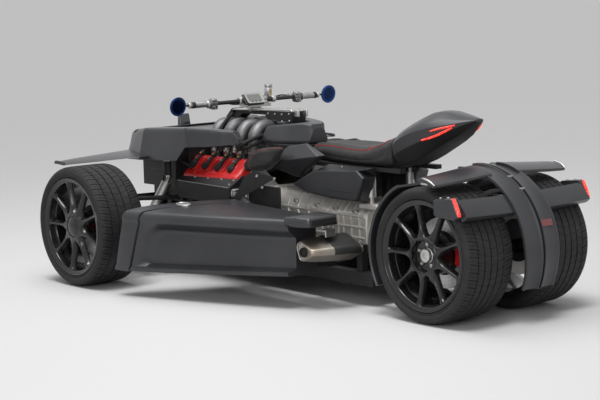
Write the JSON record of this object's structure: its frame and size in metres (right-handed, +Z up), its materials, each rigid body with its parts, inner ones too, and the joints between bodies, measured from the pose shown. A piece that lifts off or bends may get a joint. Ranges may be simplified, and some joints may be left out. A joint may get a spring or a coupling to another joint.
{
  "type": "quad bike",
  "caption": "Low road quad bike with a V engine under the handlebar, wide front wheels, close-set rear wheels and long side pods",
  "frame": {"origin": "on the ground below the middle of the vehicle's length and width", "axes": "+X forward, +Y left, +Z up"},
  "size_m": [2.92, 2.01, 1.0602],
  "materials": {
    "tyre_rubber": "matte",
    "rim_black": "gloss",
    "disc_steel": "satin",
    "cast_aluminium": "satin",
    "signal_red": "satin",
    "frame_black": "satin",
    "coil_plastic": "matte",
    "exhaust_steel": "satin",
    "body_satin": "satin",
    "lamp_clear": "gloss",
    "leather_black": "matte",
    "lamp_red": "gloss",
    "grip_rubber": "matte",
    "mirror_glass": "gloss"
  },
  "bodies": {
    "chassis": {"cam_covers": "signal_red", "chassis_frame": "frame_black", "engine_block": "cast_aluminium", "exhausts": "exhaust_steel", "front_fairing": "body_satin", "front_wishbones": "frame_black", "gearbox": "cast_aluminium", "headlamps": "lamp_clear", "heat_shields": "frame_black", "ignition_coils": "coil_plastic", "intake_manifold": "cast_aluminium", "knee_pads": "leather_black", "radiator": "frame_black", "rear_axle": "frame_black", "rear_calipers": "signal_red", "rear_fender": "rim_black", "rear_lamps": "lamp_red", "rear_mudguards": "coil_plastic", "seat": "leather_black", "seat_boxes": "body_satin", "seat_frame": "frame_black", "shock_absorbers": "cast_aluminium", "side_cowls": "body_satin", "side_panels": "body_satin", "side_pod_left": "body_satin", "side_pod_right": "body_satin", "steering_bridge": "frame_black", "tail_unit": "body_satin", "tank_cover": "body_satin", "tow_eye": "signal_red"},
    "steering": {"steering_column": "cast_aluminium", "handlebar": "frame_black", "grips": "grip_rubber", "controls": "frame_black", "levers": "frame_black", "mirrors": "mirror_glass", "dash": "coil_plastic"},
    "rack": {"steering_rack": "disc_steel"},
    "knuckle_left_body": {"knuckle_left": "cast_aluminium", "caliper_front_left": "signal_red"},
    "knuckle_right_body": {"knuckle_right": "cast_aluminium", "caliper_front_right": "signal_red"},
    "wheel_front_left": {"tyre_front_left": "tyre_rubber", "rim_front_left": "rim_black", "disc_front_left": "disc_steel"},
    "wheel_front_right": {"tyre_front_right": "tyre_rubber", "rim_front_right": "rim_black", "disc_front_right": "disc_steel"},
    "wheel_rear_left": {"tyre_rear_left": "tyre_rubber", "rim_rear_left": "rim_black", "disc_rear_left": "disc_steel"},
    "wheel_rear_right": {"tyre_rear_right": "tyre_rubber", "rim_rear_right": "rim_black", "disc_rear_right": "disc_steel"}
  },
  "joints": [
    {"name": "steer", "type": "hinge", "parent": "chassis", "child": "steering", "pos_m": [0.708, 0, 0.925], "axis": [-0.1045, 0, 0.9945], "range_deg": [-30, 30]},
    {"name": "rack_slide", "type": "slide", "parent": "chassis", "child": "rack", "axis": [0, 1, 0], "range_m": [-0.0465, 0.0465]},
    {"name": "kingpin_left", "type": "hinge", "parent": "chassis", "child": "knuckle_left_body", "pos_m": [1.108, 0.7625, 0.33], "axis": [0, 0, 1], "range_deg": [-25.1, 25.1]},
    {"name": "kingpin_right", "type": "hinge", "parent": "chassis", "child": "knuckle_right_body", "pos_m": [1.108, -0.7625, 0.33], "axis": [0, 0, 1], "range_deg": [-25.1, 25.1]},
    {"name": "spin_front_left", "type": "hinge", "parent": "knuckle_left_body", "child": "wheel_front_left", "pos_m": [1.108, 0.8625, 0.33], "axis": [0, 1, 0], "continuous": true},
    {"name": "spin_front_right", "type": "hinge", "parent": "knuckle_right_body", "child": "wheel_front_right", "pos_m": [1.108, -0.8625, 0.33], "axis": [0, 1, 0], "continuous": true},
    {"name": "spin_rear_left", "type": "hinge", "parent": "chassis", "child": "wheel_rear_left", "pos_m": [-1.052, 0.2675, 0.33], "axis": [0, 1, 0], "continuous": true},
    {"name": "spin_rear_right", "type": "hinge", "parent": "chassis", "child": "wheel_rear_right", "pos_m": [-1.052, -0.2675, 0.33], "axis": [0, 1, 0], "continuous": true}
  ],
  "couplings": [
    {"joint": "rack_slide", "follows": "steer", "m_per_rad": 0.0875},
    {"joint": "kingpin_left", "follows": "steer", "ratio": 0.83333},
    {"joint": "kingpin_right", "follows": "steer", "ratio": 0.83333}
  ]
}
